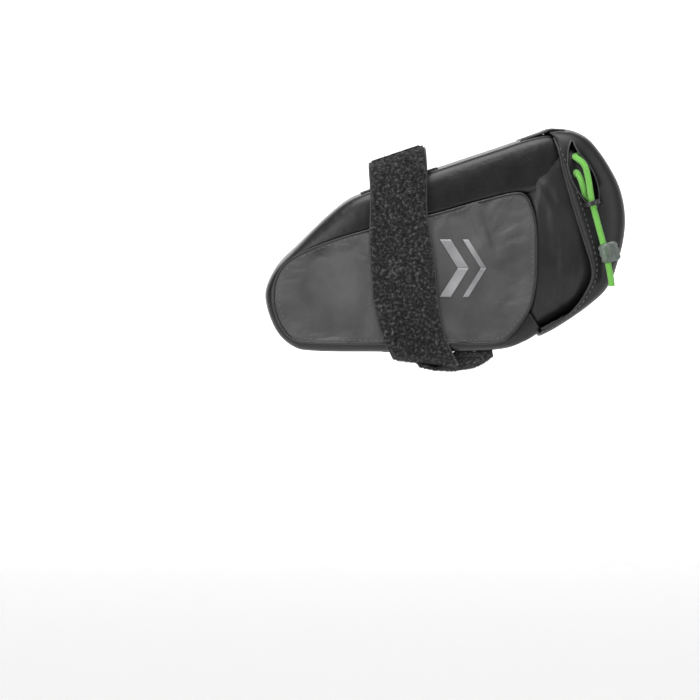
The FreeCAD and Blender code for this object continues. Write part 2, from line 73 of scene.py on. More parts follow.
def lamp(name, place, size, watts):
    """A soft rectangular lamp that faces the bag's middle."""
    data = bpy.data.lights.new(name, "AREA")
    data.shape = "RECTANGLE"
    data.size, data.size_y = size
    data.energy = watts
    made = bpy.data.objects.new(name, data)
    made.location = place
    made.rotation_euler = (BAG_MIDDLE - Vector(place)).to_track_quat("-Z", "Y").to_euler()
    bpy.context.scene.collection.objects.link(made)


lamp("sky_lamp", (-0.10, -0.35, 0.75), (0.9, 0.6), 11.0)
lamp("front_lamp", (-0.75, -0.95, 0.05), (0.35, 1.1), 6.5)
lamp("rear_lamp", (0.85, -0.55, 0.10), (0.22, 0.9), 2.6)
lamp("low_lamp", (0.05, -0.60, -0.62), (0.9, 0.12), 0.5)


def sheet_of_room(name, corners, glow):
    """A flat pale sheet that also gives off a little light of its own."""
    paint = bpy.data.materials.new(name + "_paint")
    paint.use_nodes = True
    shader = paint.node_tree.nodes["Principled BSDF"]
    shader.inputs["Base Color"].default_value = (0.9, 0.9, 0.9, 1)
    shader.inputs["Roughness"].default_value = 0.9
    shader.inputs["Emission Color"].default_value = (1, 1, 1, 1)
    shader.inputs["Emission Strength"].default_value = glow
    mesh = bpy.data.meshes.new(name)
    mesh.from_pydata(corners, [], [(0, 1, 2, 3)])
    made = bpy.data.objects.new(name, mesh)
    mesh.materials.append(paint)
    bpy.context.scene.collection.objects.link(made)


sheet_of_room("floor", [(-9, -9, -0.5), (9, -9, -0.5), (9, 9, -0.5), (-9, 9, -0.5)], 0.2)
sheet_of_room("backdrop", [(-9, 3, -6), (9, 3, -6), (9, 3, 6), (-9, 3, 6)], 0.75)
room = bpy.data.worlds.new("room")
room.use_nodes = True
room.node_tree.nodes["Background"].inputs["Color"].default_value = (1, 1, 1, 1)
room.node_tree.nodes["Background"].inputs["Strength"].default_value = 0.30
bpy.context.scene.world = room
bpy.context.scene.view_settings.view_transform = "Standard"


# The closure cord: 2.6 mm braided elastic in bright green. It leaves the slot in the
# flap, doubles back into it, and one strand runs straight down through the sleeve.
class Finish:
    """A surface built up from noise and weave: colour, roughness and relief."""

    def __init__(self, name, colour, roughness):
        self.material = bpy.data.materials.new(name)
        self.material.use_nodes = True
        self.nodes = self.material.node_tree.nodes
        self.links = self.material.node_tree.links
        self.shader = self.nodes["Principled BSDF"]
        self.place = self.nodes.new("ShaderNodeTexCoord")
        self.height = None
        self.set("Base Color", (*colour, 1))
        self.set("Roughness", roughness)

    def set(self, socket, value):
        self.shader.inputs[socket].default_value = value

    def coordinates(self, turn=(0, 0, 0), source="Object"):
        mapping = self.nodes.new("ShaderNodeMapping")
        mapping.inputs["Rotation"].default_value = turn
        self.links.new(self.place.outputs[source], mapping.inputs["Vector"])
        return mapping.outputs["Vector"]

    def grain(self, per_metre, detail=4.0, rough=0.55):
        made = self.nodes.new("ShaderNodeTexNoise")
        made.inputs["Scale"].default_value = per_metre
        made.inputs["Detail"].default_value = detail
        made.inputs["Roughness"].default_value = rough
        self.links.new(self.coordinates(), made.inputs["Vector"])
        return made.outputs["Fac"]

    def threads(self, per_metre, direction, turn=(0, 0, 0), source="Object", wobble=0.0):
        made = self.nodes.new("ShaderNodeTexWave")
        made.wave_type = "BANDS"
        made.bands_direction = direction
        made.inputs["Scale"].default_value = per_metre
        made.inputs["Distortion"].default_value = wobble
        self.links.new(self.coordinates(turn, source), made.inputs["Vector"])
        return made.outputs["Fac"]

    def crossed(self, one, other):
        made = self.nodes.new("ShaderNodeMath")
        made.operation = "MULTIPLY"
        self.links.new(one, made.inputs[0])
        self.links.new(other, made.inputs[1])
        return made.outputs[0]

    def tones(self, value, stops):
        made = self.nodes.new("ShaderNodeValToRGB")
        while len(made.color_ramp.elements) < len(stops):
            made.color_ramp.elements.new(0.5)
        for element, (position, colour) in zip(made.color_ramp.elements, stops):
            element.position = position
            element.color = (*colour, 1)
        self.links.new(value, made.inputs["Fac"])
        self.links.new(made.outputs["Color"], self.shader.inputs["Base Color"])

    def dull(self, value, low, high):
        made = self.nodes.new("ShaderNodeMapRange")
        made.inputs["To Min"].default_value = low
        made.inputs["To Max"].default_value = high
        self.links.new(value, made.inputs["Value"])
        self.links.new(made.outputs["Result"], self.shader.inputs["Roughness"])

    def relief(self, value, depth_mm, strength=1.0):
        bump = self.nodes.new("ShaderNodeBump")
        bump.inputs["Strength"].default_value = strength
        bump.inputs["Distance"].default_value = depth_mm * MM
        self.links.new(value, bump.inputs["Height"])
        if self.height is not None:
            self.links.new(self.height, bump.inputs["Normal"])
        self.height = bump.outputs["Normal"]
        self.links.new(self.height, self.shader.inputs["Normal"])


CORD_DIAMETER = 0.0026
CORD_ROUTE = [
    (0.0786, -0.0257, 0.0084),
    (0.0730, -0.0258, 0.0064),
    (0.0726, -0.0319, 0.0062),
    (0.0766, -0.0340, 0.0034),
    (0.0784, -0.0336, -0.0040),
    (0.0794, -0.0334, -0.0120),
    (0.0873, -0.0334, -0.0400),
    (0.0880, -0.0334, -0.0474),
]
RETURN_ROUTE = [
    (0.0755, -0.0266, -0.0065),
    (0.0732, -0.0267, -0.0008),
    (0.0734, -0.0314, 0.0002),
    (0.0752, -0.0329, -0.0034),
    (0.0768, -0.0312, -0.0086),
    (0.0782, -0.0268, -0.0116),
    (0.0808, -0.0264, -0.0155),
]
braid = Finish("green_braid", (0.10, 0.72, 0.03), 0.5)
left_twist = braid.threads(55.0, "DIAGONAL", source="UV")
right_twist = braid.threads(55.0, "DIAGONAL", turn=(0, 0, math.pi / 2), source="UV")
plait_relief_and_shade = braid.crossed(left_twist, right_twist)
# The cord's tone follows the same plait pattern as its relief: darker in the grooves between strands as
# painted shade, paler lime on the raised strands as painted highlight.
braid.tones(
    plait_relief_and_shade, [(0.0, (0.10, 0.55, 0.02)), (0.45, (0.30, 0.93, 0.08)), (1.0, (0.52, 1.0, 0.24))]
)
braid.relief(plait_relief_and_shade, 0.25)
braid.relief(braid.grain(9000.0), 0.03)
braid.set("Sheen Weight", 0.3)


def cord_along(name, route, thickness):
    """A round cord that follows a route of points in metres."""
    data = bpy.data.curves.new(name, "CURVE")
    data.dimensions = "3D"
    data.resolution_u = 24
    data.bevel_depth = thickness / 2
    data.bevel_resolution = 5
    data.use_fill_caps = True
    spline = data.splines.new("NURBS")
    spline.points.add(len(route) - 1)
    for point, place in zip(spline.points, route):
        point.co = (*place, 1)
    spline.order_u = 3
    spline.use_endpoint_u = True
    made = bpy.data.objects.new(name, data)
    bpy.context.scene.collection.objects.link(made)
    return made


cord = cord_along("elastic_cord", CORD_ROUTE, CORD_DIAMETER)
cord.data.materials.append(braid.material)
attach(cord, "flap")
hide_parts("closure_cord")
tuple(CORD_ROUTE[2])
cord_back = cord_along("elastic_cord_return", RETURN_ROUTE, CORD_DIAMETER)
cord_back.data.materials.append(braid.material)
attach(cord_back, "flap")
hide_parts("closure_cord_return")


# The gusset: one long strip of glossy coated cloth that runs from the flap down over the
# top, round the nose and back under the belly, folded over onto the bag's sides.
def smooth_line(points, steps, closed=False):
    """Points on an even curve through the given ones."""
    count = len(points)
    line = []
    for i in range(count if closed else count - 1):
        if closed:
            four = [points[(i + k) % count] for k in (-1, 0, 1, 2)]
        else:
            four = [points[min(max(i + k, 0), count - 1)] for k in (-1, 0, 1, 2)]
        for step in range(steps):
            t = step / steps
            line.append(
                tuple(
                    0.5 * (2 * b + (c - a) * t + (2 * a - 5 * b + 4 * c - d) * t * t
                           + (3 * b - a - 3 * c + d) * t ** 3)
                    for a, b, c, d in zip(*four)
                )
            )
    if not closed:
        line.append(tuple(points[-1]))
    return line


def make_piece(name, points_mm, faces, material):
    """A mesh piece from points in millimetres, with its outer face turned away from the bag."""
    mesh = bpy.data.meshes.new(name)
    mesh.from_pydata([Vector(p) * MM for p in points_mm], [], faces)
    mesh.polygons.foreach_set("use_smooth", [True] * len(mesh.polygons))
    mesh.materials.append(material)
    mesh.update()
    heart = Vector((15.0, 0.0, -36.0)) * MM
    if sum((f.center - heart).dot(f.normal) * f.area for f in mesh.polygons) < 0:
        mesh.flip_normals()
    made = bpy.data.objects.new(name, mesh)
    bpy.context.scene.collection.objects.link(made)
    return made


def grid_faces(rows, columns, ring=False):
    """Quads over rows of points; a ring joins each row's last point to its first."""
    faces = []
    for r in range(rows - 1):
        for c in range(columns if ring else columns - 1):
            right = (c + 1) % columns
            faces.append((r * columns + c, r * columns + right,
                          (r + 1) * columns + right, (r + 1) * columns + c))
    return faces


def half_width(reach):
    """Half of the bag's width, which narrows towards the nose."""
    t = min(max((-8.0 - reach) / 48.0, 0.0), 1.0)
    return 29.8 - 5.5 * t * t * (3 - 2 * t)


def thicken(piece, thickness, offset=-1.0):
    """Gives a sheet its thickness, on the inner side unless told otherwise."""
    wall = piece.modifiers.new("wall", "SOLIDIFY")
    wall.thickness = thickness * MM
    wall.offset = offset


def creased(x, z, seed, size, height):
    """Relief of soft cloth: a few broad waves with sharper valleys between them."""
    a = noise.noise((x / size + seed, z / size, seed * 1.7))
    b = noise.noise((x / size * 2.3, z / size * 2.3 + seed, 5.1))
    return height * (abs(a) * 1.6 - 0.4 + 0.35 * b)


# each pair: the outline as seen from the side, then the seam it is folded back to
GUSSET_PAIRS = [
    (67.0, 14.0, 64.5, -6.5), (61.0, 15.0, 59.5, -7.2),
    (50.0, 12.3, 50.0, -9.0), (35.0, 7.3, 35.0, -12.0),
    (15.0, 0.7, 15.0, -17.6), (0.0, -4.3, -2.0, -21.3), (-14.0, -9.0, -14.0, -24.6),
    (-23.0, -13.2, -25.0, -27.8), (-33.0, -21.5, -36.0, -31.8), (-44.0, -32.5, -44.0, -35.8),
    (-52.0, -41.0, -49.3, -40.3), (-56.0, -50.0, -52.3, -47.5), (-55.0, -58.5, -52.3, -57.0),
    (-51.0, -67.5, -49.3, -64.8), (-44.5, -73.3, -44.5, -69.8), (-36.0, -75.0, -37.0, -71.2),
    (-10.0, -75.3, -10.0, -71.5), (20.0, -75.2, 20.0, -71.3), (42.0, -74.2, 40.0, -71.0),
    (52.0, -71.0, 47.0, -67.0), (59.5, -66.4, 53.5, -58.0),
]
FOLD_STEPS = 9
FLAT_STEPS = 14
GUSSET_WALL = 1.0


def folded_band(name, rows, material, crown=1.2):
    """A strip that turns from its left edge over its outline to its right edge.

    Each row is (outline x, z, edge x, z, half width at the edge, half width of the flat).
    """
    points = []
    for ox, oz, ex, ez, wide, narrow in rows:
        section = []
        for i in range(FOLD_STEPS):
            t = math.pi / 2 * i / FOLD_STEPS
            rise = math.sin(t) ** 1.15
            section.append((ex + (ox - ex) * rise, narrow + (wide - narrow) * math.cos(t) ** 0.8,
                            ez + (oz - ez) * rise))
        reach = Vector((ox - ex, oz - ez)).normalized()
        left = [(x, -y, z) for x, y, z in section]
        flat = []
        for i in range(FLAT_STEPS + 1):
            across = -1 + 2 * i / FLAT_STEPS
            swell = crown * (1 - across * across) * 0.6
            flat.append((ox + reach.x * swell, narrow * across, oz + reach.y * swell))
        right = section[::-1]
        points += left + flat + right
    columns = 2 * FOLD_STEPS + FLAT_STEPS + 1
    return make_piece(name, points, grid_faces(len(rows), columns), material)


coated = Finish("coated_cloth", (0.012, 0.012, 0.013), 0.3)
coated.tones(coated.grain(90.0), [(0.3, (0.0035, 0.0035, 0.004)), (0.75, (0.009, 0.009, 0.010))])
coated.dull(coated.grain(260.0, 6.0), 0.24, 0.42)
coated.relief(coated.grain(2600.0, 2.0), 0.03)
coated.relief(coated.grain(120.0, 3.0), 0.5, 0.7)
coated.set("Specular IOR Level", 0.36)

gusset_rows = []
for ox, oz, ex, ez in smooth_line(GUSSET_PAIRS, 10):
    wide = half_width(ex) - 0.5 - 0.2 * max(ex - 56.0, 0.0)
    puff = creased(ex, ez, 3.0, 26.0, 0.35)
    gusset_rows.append((ox, oz + puff * 0.3, ex, ez, wide, wide - 5.5))
gusset = folded_band("gusset", gusset_rows, coated.material)
thicken(gusset, GUSSET_WALL)
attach(gusset, "root")
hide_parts("gusset_band")


# The side panels: matt cloth with a fine brushed face, welded to the gusset all round.
# Each is blown out a little by what the bag holds and is softly creased.
PANEL_EDGE = [(ex, ez) for ox, oz, ex, ez in GUSSET_PAIRS[2:]] + [
    (56.0, -49.0), (56.8, -40.0), (56.6, -24.0), (54.6, -14.5),
]
panel_line = smooth_line(PANEL_EDGE, 8, closed=True)
PANEL_HEART = (10.0, -46.0)
PANEL_RINGS = 26
PANEL_WALL = 0.8
DIMPLE = (-32.5, -34.6)
FOLD_TOP = Vector((30.0, -11.7))
FOLD_FOOT = Vector((35.4, -30.0))


def near_line(x, z, start, end, width):
    """1 on a line between two points, falling off to 0 across a width."""
    along = end - start
    t = min(max((Vector((x, z)) - start).dot(along) / along.length_squared, 0.0), 1.0)
    away = (Vector((x, z)) - (start + along * t)).length
    return math.exp(-(away / width) ** 2)


def panel_swell(x, z, share, side):
    """How far a side panel stands out; share is 0 at its heart and 1 at its seam."""
    swell = -0.3 + 2.6 * (1 - share ** 2.4)
    loose = 1 - share ** 6
    swell += loose * creased(x, z, 7.0 + side, 17.0, 0.55)
    swell += loose * creased(x, z, 11.0 + side, 7.0, 0.16)
    gap = math.hypot(x - DIMPLE[0], (z - DIMPLE[1]) * 1.4)
    swell -= 2.0 * math.exp(-(gap / 3.2) ** 2)
    swell += 1.3 * near_line(x, z, FOLD_TOP, FOLD_FOOT, 2.0)
    swell -= 0.8 * near_line(x, z, FOLD_TOP + Vector((5, 0)), FOLD_FOOT + Vector((4, 0)), 2.3)
    pucker = math.sin(x * 1.9 + 2.2 * math.sin(z * 0.9)) * math.sin(z * 1.7 + 1.3 * math.sin(x))
    return swell + 0.10 * share ** 8 * pucker


matt = Finish("matt_cloth", (0.05, 0.05, 0.052), 0.6)
matt.tones(
    matt.grain(42.0, 5.0),
    [(0.25, (0.028, 0.028, 0.029)), (0.55, (0.052, 0.052, 0.0535)), (0.8, (0.074, 0.074, 0.076))],
)
warp = matt.threads(560.0, "X", wobble=0.4)
weft = matt.threads(560.0, "Z", wobble=0.4)
matt.relief(matt.crossed(warp, weft), 0.05, 0.6)
matt.relief(matt.grain(3800.0, 3.0), 0.05)
matt.relief(matt.grain(140.0, 4.0), 0.6, 0.55)
matt.dull(matt.grain(700.0, 4.0), 0.42, 0.62)
matt.set("Specular IOR Level", 0.35)
matt.set("Sheen Weight", 0.03)
matt.set("Sheen Roughness", 0.4)

PANEL_MOVES_AT_MOST = 1.6
CLOTH_MOMENTS = 16


def filled_out(piece, side):
    """Lets the panel's cloth swell and buckle between its seams, as it does when packed."""
    pinned = piece.vertex_groups.new(name="seam")
    count = len(panel_line)
    pinned.add(list(range(1 + (PANEL_RINGS - 2) * count, 1 + PANEL_RINGS * count)), 1.0, "REPLACE")
    cloth = piece.modifiers.new("cloth", "CLOTH")
    cloth.settings.vertex_group_mass = "seam"
    cloth.settings.quality = 6
    cloth.settings.mass = 0.25
    cloth.settings.tension_stiffness = 25.0
    cloth.settings.compression_stiffness = 25.0
    cloth.settings.bending_stiffness = 0.6
    cloth.settings.shrink_min = -0.035
    cloth.settings.use_pressure = True
    cloth.settings.uniform_pressure_force = 1.2 * side
    cloth.settings.effector_weights.gravity = 0.0
    cloth.point_cache.frame_start = 1
    cloth.point_cache.frame_end = CLOTH_MOMENTS
    before = [v.co.copy() for v in piece.data.vertices]
    for moment in range(1, CLOTH_MOMENTS + 1):
        bpy.context.scene.frame_set(moment)
    shaped = piece.evaluated_get(bpy.context.evaluated_depsgraph_get()).data
    after = [v.co.copy() for v in shaped.vertices]
    piece.modifiers.remove(cloth)
    bpy.context.scene.frame_set(1)
    furthest = PANEL_MOVES_AT_MOST * MM
    for vertex, start, end in zip(piece.data.vertices, before, after):
        step = end - start
        if step.length > furthest:
            step *= furthest / step.length
        vertex.co = start + step


def held_by_strap(piece):
    """Presses a panel flat where the strap lies over it."""
    for vertex in piece.data.vertices:
        x, y, z = vertex.co / MM
        outside = max(-14.0 - x, x - 20.0, 0.0)
        most = 31.9 - 1.6 * ((z + 42.0) / 26.0) ** 2 + 0.16 * outside
        if abs(y) > most:
            vertex.co.y = math.copysign(most, y) * MM


panels = {}
for side, name in ((-1, "left"), (1, "right")):
    points = [(PANEL_HEART[0], side * (half_width(PANEL_HEART[0]) + 2.3), PANEL_HEART[1])]
    for ring in range(1, PANEL_RINGS + 1):
        share = (ring / PANEL_RINGS) ** 0.9
        for x, z in panel_line:
            px = PANEL_HEART[0] + (x - PANEL_HEART[0]) * share
            pz = PANEL_HEART[1] + (z - PANEL_HEART[1]) * share
            points.append((px, side * (half_width(px) + panel_swell(px, pz, share, side)), pz))
    count = len(panel_line)
    faces = [(0, 1 + i, 1 + (i + 1) % count) for i in range(count)]
    faces += [tuple(v + 1 for v in face) for face in grid_faces(PANEL_RINGS, count, ring=True)]
    panel = make_piece(f"side_panel_{name}_cloth", points, faces, matt.material)
    filled_out(panel, -side)
    held_by_strap(panel)
    finer = panel.modifiers.new("finer", "SUBSURF")
    finer.levels = finer.render_levels = 1
    thicken(panel, PANEL_WALL, 0.0)
    panels[name] = panel
    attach(panel, "root")
    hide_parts(f"side_panel_{name}")


# The weld: a narrow glossy lip pressed along each panel's edge, and beside it a row of
# fine stitches in dark grey thread that holds the lip down.
def line_round(name, path_mm, radius_mm, material, closed=True):
    """A thin round bead that follows a line."""
    data = bpy.data.curves.new(name, "CURVE")
    data.dimensions = "3D"
    data.bevel_depth = radius_mm * MM
    data.bevel_resolution = 3
    data.use_fill_caps = True
    spline = data.splines.new("POLY")
    spline.points.add(len(path_mm) - 1)
    for point, place in zip(spline.points, path_mm):
        point.co = (*(Vector(place) * MM), 1)
    spline.use_cyclic_u = closed
    shape = bpy.data.objects.new(name + "_line", data)
    bpy.context.scene.collection.objects.link(shape)
    mesh = bpy.data.meshes.new_from_object(
        shape.evaluated_get(bpy.context.evaluated_depsgraph_get())
    )
    bpy.data.objects.remove(shape)
    mesh.materials.clear()
    mesh.materials.append(material)
    mesh.polygons.foreach_set("use_smooth", [True] * len(mesh.polygons))
    made = bpy.data.objects.new(name, mesh)
    bpy.context.scene.collection.objects.link(made)
    return made


def surface_of(piece):
    """The piece's finished surface, for laying other pieces on."""
    graph = bpy.context.evaluated_depsgraph_get()
    return BVHTree.FromObject(piece, graph)


def on_surface(tree, x, z, side, lift):
    """The point on a side's surface at (x, z), lifted off it; all in millimetres."""
    hit = tree.ray_cast(Vector((x, side * 70.0, z)) * MM, Vector((0, -side, 0)))
    if hit[0] is None:
        return None
    return (x, hit[0].y / MM + side * lift, z)


STITCH_LENGTH = 1.5
STITCH_RADIUS = 0.22
STITCH_SINKS = 0.16
WELD_RADIUS = 0.5
PANEL_STITCH_STEP = 2.3


def stitches(name, places, material):
    """A row of sewn stitches; places are (point, direction) pairs in millimetres."""
    points, faces = [], []
    for place, direction in places:
        along = Vector(direction).normalized()
        across = along.cross(Vector((0, 1, 0))).normalized()
        out = across.cross(along)
        base = len(points)
        for step in range(5):
            t = -1 + step / 2
            thick = STITCH_RADIUS * math.sqrt(max(1 - 0.82 * t * t, 0.05))
            sunk = STITCH_SINKS * t * t
            for turn in range(6):
                angle = math.pi / 3 * turn
                spot = Vector(place) + along * (t * STITCH_LENGTH / 2)
                spot += across * (math.cos(angle) * thick) + out * (math.sin(angle) * thick) * 0.8
                spot.y -= math.copysign(sunk, spot.y)
                points.append(spot)
        faces += [tuple(v + base for v in face) for face in grid_faces(5, 6, ring=True)]
        faces.append(tuple(base + k for k in range(6))[::-1])
        faces.append(tuple(base + 24 + k for k in range(6)))
    return make_piece(name, points, faces, material)


def evenly(line, spacing, closed=True):
    """(point, direction) at even steps along a line of points."""
    ends = list(zip(line, line[1:] + line[:1])) if closed else list(zip(line, line[1:]))
    found, carried = [], 0.0
    for a, b in ends:
        run = Vector(b) - Vector(a)
        at = carried
        while at < run.length:
            found.append((Vector(a) + run * (at / run.length), run.normalized()))
            at += spacing
        carried = at - run.length
    return found


lip = Finish("weld_lip", (0.009, 0.009, 0.010), 0.3)
lip.dull(lip.grain(500.0), 0.22, 0.42)
lip.relief(lip.grain(1800.0, 3.0), 0.08)
thread = Finish("dark_thread", (0.03, 0.03, 0.032), 0.55)
thread.relief(thread.threads(2500.0, "DIAGONAL"), 0.05)
thread.tones(thread.grain(900.0), [(0.3, (0.05, 0.05, 0.052)), (0.8, (0.13, 0.13, 0.135))])
for side, name in ((-1, "left"), (1, "right")):
    tree = surface_of(panels[name])
    edge = [(x, side * (half_width(x) + 0.05), z) for x, z in panel_line]
    weld = line_round(f"weld_{name}", edge, WELD_RADIUS, lip.material)
    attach(weld, "root")
    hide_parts(f"seam_weld_{name}")
    sewn = []
    inner = [(PANEL_HEART[0] + (x - PANEL_HEART[0]) * 0.965,
              PANEL_HEART[1] + (z - PANEL_HEART[1]) * 0.95) for x, z in panel_line]
    for spot, way in evenly([Vector((x, 0, z)) for x, z in inner], PANEL_STITCH_STEP):
        seat = on_surface(tree, spot.x, spot.z, side, 0.02)
        if seat is not None:
            sewn.append((seat, way))
    row = stitches(f"panel_stitches_{name}", sewn, thread.material)
    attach(row, "root")


# The print: a plain double chevron in reflective silver film. It is cut flat, pressed
# onto each side panel with heat, and follows the panel's swell.
FILM_LIFT = 0.28
FILM_THICKNESS = 0.08
FILM_CUTS = 14


def film_on(name, outlines, tree, side, material):
    """Thin film cut to outlines of four-cornered patches and laid on a surface."""
    points, faces = [], []
    for corner_a, corner_b, corner_c, corner_d in outlines:
        base = len(points)
        for row in range(FILM_CUTS + 1):
            v = row / FILM_CUTS
            left = Vector(corner_a).lerp(Vector(corner_d), v)
            right = Vector(corner_b).lerp(Vector(corner_c), v)
            for column in range(FILM_CUTS + 1):
                spot = left.lerp(right, column / FILM_CUTS)
                points.append(on_surface(tree, spot.x, spot.y, side, FILM_LIFT))
        patch = grid_faces(FILM_CUTS + 1, FILM_CUTS + 1)
        faces += [tuple(v + base for v in face) for face in patch]
    return make_piece(name, points, faces, material)


silver = Finish("silver_film", (0.34, 0.34, 0.35), 0.38)
silver.tones(silver.grain(60.0, 3.0), [(0.3, (0.13, 0.13, 0.135)), (0.7, (0.24, 0.24, 0.245))])
silver.relief(silver.grain(5200.0, 2.0), 0.03)
silver.relief(silver.grain(200.0), 0.3, 0.5)


def chevron(tip_x, tip_z, reach, rise, thick):
    """A chevron's two arms, which point to the rear."""
    return [
        ((tip_x - reach, tip_z + rise), (tip_x - reach + thick, tip_z + rise),
         (tip_x + thick, tip_z), (tip_x, tip_z)),
        ((tip_x, tip_z), (tip_x + thick, tip_z),
         (tip_x - reach + thick, tip_z - rise), (tip_x - reach, tip_z - rise)),
    ]


marks = chevron(24.0, -40.0, 7.5, 12.0, 4.6) + chevron(33.5, -40.0, 7.5, 12.0, 2.4)
for side, name in ((-1, "left"), (1, "right")):
    printed = film_on(
        f"silver_print_{name}", marks, surface_of(panels[name]), side, silver.material
    )
    thicken(printed, FILM_THICKNESS)
    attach(printed, "root")
    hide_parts(f"reflective_print_{name}")


# The throat: a soft sleeve of smooth dark cloth behind the side panels. It lies just inside
# the bag's sides, hangs in a few long folds, and ends in the mouth under the flap.
def outline_top(x):
    """Height of the bag's top line at x."""
    return -4.3 + 0.3327 * x if x < 62 else 16.3 - max(x - 74.0, 0) * 1.5


def outline_foot(x):
    """Height of the throat's lower line at x."""
    low = -66.4 + (min(x, 74.0) - 58.9) * 0.574 + max(x - 74.0, 0.0) * 0.9
    return max(low, -73.2)


THROAT_ROWS = 34
THROAT_TURN = 96
THROAT_START = 48.0
THROAT_LENGTH = 36.0
THROAT_WALL = 0.9
throat_points = []
for row in range(THROAT_ROWS + 1):
    x = THROAT_START + THROAT_LENGTH * row / THROAT_ROWS
    top, foot = outline_top(x) - 1.9, outline_foot(x)
    middle, tall = (top + foot) / 2, (top - foot) / 2
    wide = 26.6 + 2.2 * min(max(x - 52.0, 0.0) / 5.0, 1.0)
    wide -= 0.5 * min(max(x - 58.0, 0.0) / 8.0, 1.0)
    wide -= 3.0 * min(max(x - 74.0, 0.0) / 10.0, 1.0)
    for turn in range(THROAT_TURN):
        angle = 2 * math.pi * turn / THROAT_TURN
        ca, sa = math.cos(angle), math.sin(angle)
        y = wide * math.copysign(abs(ca) ** 0.32, ca)
        z = middle + tall * math.copysign(abs(sa) ** (0.55 if sa > 0 else 0.34), sa)
        flank = abs(ca) ** 0.5
        fold = 0.9 * near_line(x, z, Vector((65.6, -27.0)), Vector((62.6, -55.0)), 2.0) - 0.5
        fold -= 1.6 * near_line(x, z, Vector((59.8, -7.0)), Vector((70.0, -30.0)), 3.2)
        fold += 0.4 * near_line(x, z, Vector((72.5, -31.0)), Vector((68.0, -56.0)), 1.8)
        fold += 0.9 * near_line(x, z, Vector((57.0, -18.8)), Vector((61.5, -16.0)), 1.3)
        fold += creased(x, z, 21.0, 12.0, 0.4)
        y += math.copysign(flank * fold, ca)
        throat_points.append((x, y, z))
smooth_cloth = Finish("smooth_cloth", (0.014, 0.014, 0.015), 0.4)
smooth_cloth.tones(
    smooth_cloth.grain(70.0), [(0.3, (0.006, 0.006, 0.0065)), (0.75, (0.014, 0.014, 0.015))]
)
smooth_cloth.relief(smooth_cloth.grain(3000.0, 2.0), 0.03)
smooth_cloth.relief(smooth_cloth.grain(110.0, 3.0), 0.5, 0.5)
smooth_cloth.dull(smooth_cloth.grain(300.0), 0.34, 0.5)
smooth_cloth.set("Specular IOR Level", 0.35)
throat = make_piece(
    "throat", throat_points, grid_faces(THROAT_ROWS + 1, THROAT_TURN, ring=True),
    smooth_cloth.material,
)
thicken(throat, THROAT_WALL)
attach(throat, "root")
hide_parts("rear_throat")


# The flap: a stiff moulded cap of coated cloth over the mouth, hinged along its top. Its
# free edge sweeps back on both sides, and a leaf-shaped slot lets the cord out on the left.
FLAP_PAIRS = [
    # outline x, z, edge x, z, half width at the edge, half width of the flat
    (62.6, 16.5, 64.3, 14.2, 25.8, 23.0), (67.0, 16.9, 66.0, 9.5, 28.6, 23.4),
    (72.5, 16.3, 67.2, 4.5, 30.0, 23.6), (78.5, 13.4, 68.4, -1.0, 30.5, 23.6),
    (83.5, 7.8, 69.8, -6.0, 30.5, 23.2), (88.0, 1.0, 71.4, -11.5, 30.5, 22.4),
    (91.6, -6.0, 73.2, -17.5, 30.5, 21.4), (93.8, -14.0, 75.3, -24.0, 30.5, 20.5),
    (94.4, -22.0, 77.6, -31.0, 30.5, 20.0), (93.5, -30.0, 79.5, -37.0, 30.5, 19.6),
    (91.7, -37.0, 80.3, -41.5, 30.5, 18.5), (89.2, -44.5, 79.8, -45.5, 30.5, 19.5),
    (85.6, -50.2, 77.8, -50.0, 30.5, 20.5), (80.0, -55.2, 74.5, -55.2, 30.5, 21.5),
    (73.0, -60.3, 70.0, -60.0, 30.0, 22.5), (65.0, -65.4, 63.5, -64.6, 29.2, 23.5),
    (58.9, -68.4, 58.9, -67.2, 28.4, 24.0),
]
FLAP_WALL = 1.3
FLAP_CROWN = 2.0
stiff = Finish("stiff_coated_cloth", (0.013, 0.013, 0.014), 0.38)
stiff.tones(stiff.grain(55.0), [(0.3, (0.004, 0.004, 0.0045)), (0.75, (0.009, 0.009, 0.010))])
stiff.dull(stiff.grain(240.0, 5.0), 0.32, 0.5)
stiff.relief(stiff.threads(900.0, "X"), 0.02, 0.5)
stiff.relief(stiff.threads(900.0, "Z"), 0.02, 0.5)
stiff.relief(stiff.grain(2400.0, 3.0), 0.04)
stiff.set("Specular IOR Level", 0.34)
flap_rows = smooth_line(FLAP_PAIRS, 6)
flap = folded_band("flap_cap", flap_rows, stiff.material, crown=FLAP_CROWN)
thicken(flap, FLAP_WALL)

SLOT_LEAF = [
    (71.6, 13.2), (70.2, 10.5), (69.7, 6.5), (69.9, 1.5), (71.3, -3.0), (73.6, -7.2),
    (76.2, -11.0), (78.6, -14.2), (80.9, -15.2), (82.4, -14.0), (82.9, -10.5), (82.3, -5.5),
    (80.6, -0.5), (77.8, 4.0), (74.4, 8.0), (72.8, 11.0),
]
leaf_line = smooth_line(SLOT_LEAF, 5, closed=True)
LEAF_COUNT = len(leaf_line)
PUNCH_REACH = (-45.0, -16.0)
punch_points = [(x, y, z) for y in PUNCH_REACH for x, z in leaf_line]
punch_faces = grid_faces(2, LEAF_COUNT, ring=True)
punch_faces += [tuple(range(LEAF_COUNT))[::-1], tuple(range(LEAF_COUNT, 2 * LEAF_COUNT))]
punch = make_piece("leaf_punch", punch_points, punch_faces, stiff.material)
punched = flap.modifiers.new("slot", "BOOLEAN")
punched.operation = "DIFFERENCE"
punched.solver = "EXACT"
punched.object = punch
uncut = folded_band("flap_uncut", flap_rows, stiff.material, crown=FLAP_CROWN)
uncut_tree = surface_of(uncut)
bpy.data.objects.remove(uncut)
graph = bpy.context.evaluated_depsgraph_get()
shaped = bpy.data.meshes.new_from_object(flap.evaluated_get(graph))
flap.modifiers.clear()
flap.data = shaped
bpy.data.objects.remove(punch)
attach(flap, "flap")
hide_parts("flap_shell")


